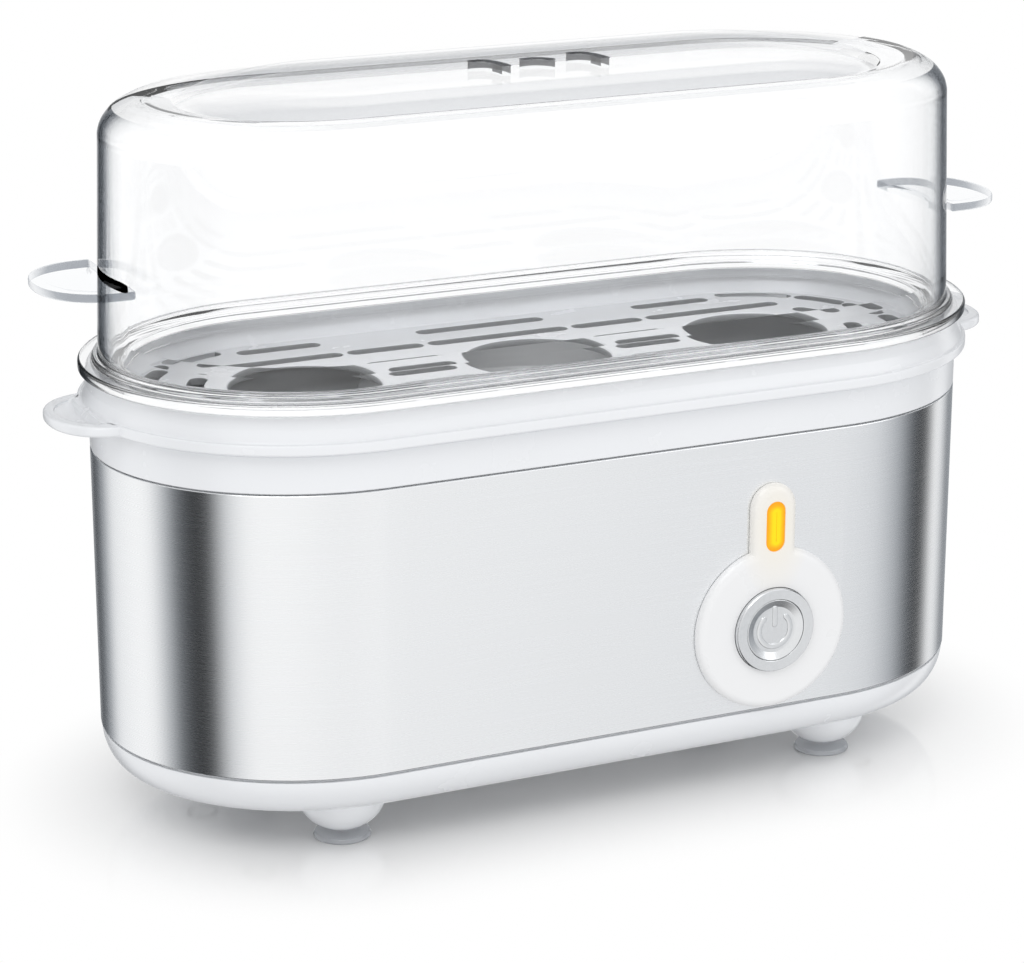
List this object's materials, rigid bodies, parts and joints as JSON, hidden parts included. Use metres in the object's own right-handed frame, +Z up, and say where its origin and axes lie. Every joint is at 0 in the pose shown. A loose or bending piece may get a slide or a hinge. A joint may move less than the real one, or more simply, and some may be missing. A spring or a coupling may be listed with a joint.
{
  "type": "egg boiler",
  "caption": "Oval electric egg boiler with a brushed steel casing, white egg tray, clear vented lid and front push button.",
  "frame": {"origin": "centre of the footprint, on the plane that the foot pads stand on", "axes": "+X along the long side to the right of the control face, -Y toward the control face, +Z up"},
  "size_m": [0.2138, 0.0886, 0.1488],
  "materials": {
    "white_plastic": "smooth glossy bluish-white moulding",
    "brushed_steel": "fine horizontal brushing, satin",
    "clear_plastic": "clear polished moulding",
    "clear_pad": "translucent soft pad",
    "chrome": "satin chrome with fine turning lines",
    "amber_lens": "amber lens, lit from behind",
    "bowl_metal": "plain satin metal",
    "plated_steel": "zinc plated",
    "brass": "plain",
    "dark_plastic": "matte",
    "silicone": "matte silicone",
    "circuit_board": "plain laminate",
    "brown_lead": "sleeve",
    "blue_lead": "sleeve",
    "earth_lead": "sleeve"
  },
  "bodies": {
    "base_body": {"base_pan": "white_plastic", "steel_casing": "brushed_steel", "top_housing": "white_plastic", "heating_bowl": "bowl_metal", "bowl_seal": "silicone", "heat_spreader": "bowl_metal", "heating_element": "plated_steel", "thermostat": "dark_plastic", "thermal_fuse": "brass", "earth_tab": "brass", "earth_screw": "plated_steel", "control_bezel": "white_plastic", "indicator_lens": "amber_lens", "button_ring": "chrome", "control_bracket": "plated_steel", "bracket_screw_left": "plated_steel", "bracket_screw_right": "plated_steel", "control_board": "circuit_board", "board_screw_left": "plated_steel", "board_screw_right": "plated_steel", "switch_body": "dark_plastic", "button_spring": "plated_steel", "indicator_lamp": "amber_lens", "cord_gland": "white_plastic", "cord_clamp": "white_plastic", "clamp_screw_left": "plated_steel", "clamp_screw_right": "plated_steel", "terminal_block": "white_plastic", "lead_live": "brown_lead", "lead_neutral": "blue_lead", "lead_earth": "earth_lead", "lead_switched": "brown_lead", "lead_link": "brown_lead", "lead_fuse": "brown_lead", "foot_pad_left_front": "clear_pad", "base_screw_left_front": "plated_steel", "foot_pad_left_back": "clear_pad", "base_screw_left_back": "plated_steel", "foot_pad_right_front": "clear_pad", "base_screw_right_front": "plated_steel", "foot_pad_right_back": "clear_pad", "base_screw_right_back": "plated_steel"},
    "button_body": {"power_button": "chrome", "switch_plunger": "dark_plastic"},
    "tray_body": {"egg_tray": "white_plastic"},
    "lid_body": {"lid": "clear_plastic"}
  },
  "joints": [
    {"name": "tray_lift", "type": "slide", "parent": "base_body", "child": "tray_body", "axis": [0, 0, 1], "range_m": [0, 0.05]},
    {"name": "lid_lift", "type": "slide", "parent": "tray_body", "child": "lid_body", "axis": [0, 0, 1], "range_m": [0, 0.08]},
    {"name": "button_push", "type": "slide", "parent": "base_body", "child": "button_body", "axis": [0, 1, 0], "range_m": [0, 0.0025], "stiffness_N_per_m": 400, "springref_m": -0.002, "deforming": ["button_spring"]}
  ]
}
